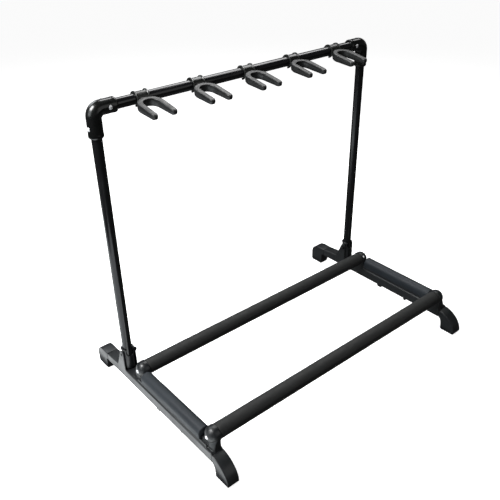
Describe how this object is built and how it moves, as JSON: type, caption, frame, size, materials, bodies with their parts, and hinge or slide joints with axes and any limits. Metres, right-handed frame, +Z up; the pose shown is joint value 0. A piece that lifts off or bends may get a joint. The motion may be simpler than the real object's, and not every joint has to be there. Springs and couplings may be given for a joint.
{
  "type": "guitar rack",
  "caption": "Folding floor rack: two side arms joined by foam-covered base tubes, and an upright frame that folds forward, with a row of soft forks for guitar necks.",
  "frame": {"origin": "on the floor, below the centre of the rack as it stands open", "axes": "+Z up, +X to the right along the tubes, -Y to the front, where the forks point"},
  "size_m": [0.7528, 0.504, 0.6717],
  "materials": {
    "moulding": "satin black moulded plastic with fine grain",
    "elbow_plastic": "semi-gloss black moulded plastic",
    "clip_plastic": "semi-gloss black plastic",
    "lacquered_tube": "gloss black powder coat on steel tube",
    "foam": "closed-cell foam, matt",
    "arm_pad": "soft dark blue-grey rubber, satin",
    "fork_pad": "soft dark grey rubber, satin",
    "sole_rubber": "matt rubber",
    "chrome": "bright plated",
    "black_steel": "black oxide steel"
  },
  "bodies": {
    "base": {"side_arm_left": "moulding", "front_foot_left": "moulding", "rear_foot_left": "moulding", "front_sole_left": "sole_rubber", "rear_sole_left": "sole_rubber", "arm_pad_left": "arm_pad", "pad_clip_front_left": "clip_plastic", "pad_clip_rear_left": "clip_plastic", "boss_screw_front_left": "chrome", "boss_screw_rear_left": "chrome", "hinge_bolt_left": "black_steel", "hinge_nut_left": "black_steel", "side_arm_right": "moulding", "front_foot_right": "moulding", "rear_foot_right": "moulding", "front_sole_right": "sole_rubber", "rear_sole_right": "sole_rubber", "arm_pad_right": "arm_pad", "pad_clip_front_right": "clip_plastic", "pad_clip_rear_right": "clip_plastic", "boss_screw_front_right": "chrome", "boss_screw_rear_right": "chrome", "hinge_bolt_right": "black_steel", "hinge_nut_right": "black_steel", "base_tube_front": "lacquered_tube", "foam_sleeve_front": "foam", "base_tube_rear": "lacquered_tube", "foam_sleeve_rear": "foam", "set_screw_rear_right": "chrome"},
    "upright_frame": {"hinge_knuckle_left": "moulding", "upright_tube_left": "lacquered_tube", "corner_elbow_left": "elbow_plastic", "elbow_screw_front_left": "chrome", "elbow_screw_side_left": "chrome", "hinge_knuckle_right": "moulding", "upright_tube_right": "lacquered_tube", "corner_elbow_right": "elbow_plastic", "elbow_screw_front_right": "chrome", "elbow_screw_side_right": "chrome", "top_tube": "lacquered_tube"},
    "fork_1": {"neck_clip_1": "clip_plastic", "neck_fork_1": "fork_pad"},
    "fork_2": {"neck_clip_2": "clip_plastic", "neck_fork_2": "fork_pad"},
    "fork_3": {"neck_clip_3": "clip_plastic", "neck_fork_3": "fork_pad"},
    "fork_4": {"neck_clip_4": "clip_plastic", "neck_fork_4": "fork_pad"},
    "fork_5": {"neck_clip_5": "clip_plastic", "neck_fork_5": "fork_pad"}
  },
  "joints": [
    {"name": "frame_fold", "type": "hinge", "parent": "base", "child": "upright_frame", "pos_m": [0, 0.1273, 0.096], "axis": [1, 0, 0], "range_deg": [0, 73]},
    {"name": "fork_1_turn", "type": "hinge", "parent": "upright_frame", "child": "fork_1", "pos_m": [-0.259, 0.1273, 0.6564], "axis": [1, 0, 0], "continuous": true},
    {"name": "fork_2_turn", "type": "hinge", "parent": "upright_frame", "child": "fork_2", "pos_m": [-0.1295, 0.1273, 0.6564], "axis": [1, 0, 0], "continuous": true},
    {"name": "fork_3_turn", "type": "hinge", "parent": "upright_frame", "child": "fork_3", "pos_m": [0, 0.1273, 0.6564], "axis": [1, 0, 0], "continuous": true},
    {"name": "fork_4_turn", "type": "hinge", "parent": "upright_frame", "child": "fork_4", "pos_m": [0.1295, 0.1273, 0.6564], "axis": [1, 0, 0], "continuous": true},
    {"name": "fork_5_turn", "type": "hinge", "parent": "upright_frame", "child": "fork_5", "pos_m": [0.259, 0.1273, 0.6564], "axis": [1, 0, 0], "continuous": true}
  ]
}
